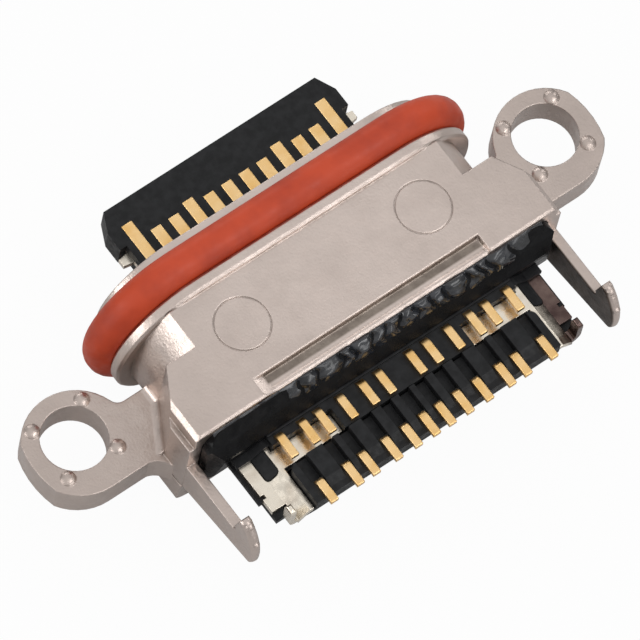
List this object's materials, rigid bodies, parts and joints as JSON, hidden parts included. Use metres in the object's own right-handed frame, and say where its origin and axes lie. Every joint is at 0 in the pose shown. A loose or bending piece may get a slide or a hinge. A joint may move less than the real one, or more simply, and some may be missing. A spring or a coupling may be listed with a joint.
{
  "type": "charging port",
  "caption": "Sealed charging port: a bare tongue with gold contacts in a cast shell with a seal ring, screw ears and hooked arms, ending in two rows of solder tails.",
  "frame": {"origin": "midway between the two ear screw holes, on the ears' top face", "axes": "+X from one screw hole to the other, +Y from the tongue to the solder tails, +Z along the screws, out of the face that the board lies on"},
  "size_m": [0.0158, 0.0089, 0.0046],
  "materials": {
    "shell_metal": "satin",
    "seal_rubber": "satin",
    "moulding": "matte",
    "plate_metal": "matte",
    "sealant": "gloss",
    "contact_gold": "satin"
  },
  "bodies": {
    "root": {"shell": "shell_metal", "seal_ring": "seal_rubber", "tongue_housing": "moulding", "upper_wafer": "moulding", "lower_wafer": "moulding", "mid_plate": "plate_metal", "potting": "sealant", "upper_contact_1": "contact_gold", "upper_contact_2": "contact_gold", "upper_contact_3": "contact_gold", "upper_contact_4": "contact_gold", "upper_contact_5": "contact_gold", "upper_contact_6": "contact_gold", "upper_contact_7": "contact_gold", "upper_contact_8": "contact_gold", "upper_contact_9": "contact_gold", "upper_contact_10": "contact_gold", "upper_contact_11": "contact_gold", "upper_contact_12": "contact_gold", "lower_contact_1": "contact_gold", "lower_contact_2": "contact_gold", "lower_contact_3": "contact_gold", "lower_contact_4": "contact_gold", "lower_contact_5": "contact_gold", "lower_contact_6": "contact_gold", "lower_contact_7": "contact_gold", "lower_contact_8": "contact_gold", "lower_contact_9": "contact_gold", "lower_contact_10": "contact_gold", "lower_contact_11": "contact_gold", "lower_contact_12": "contact_gold"}
  },
  "joints": []
}
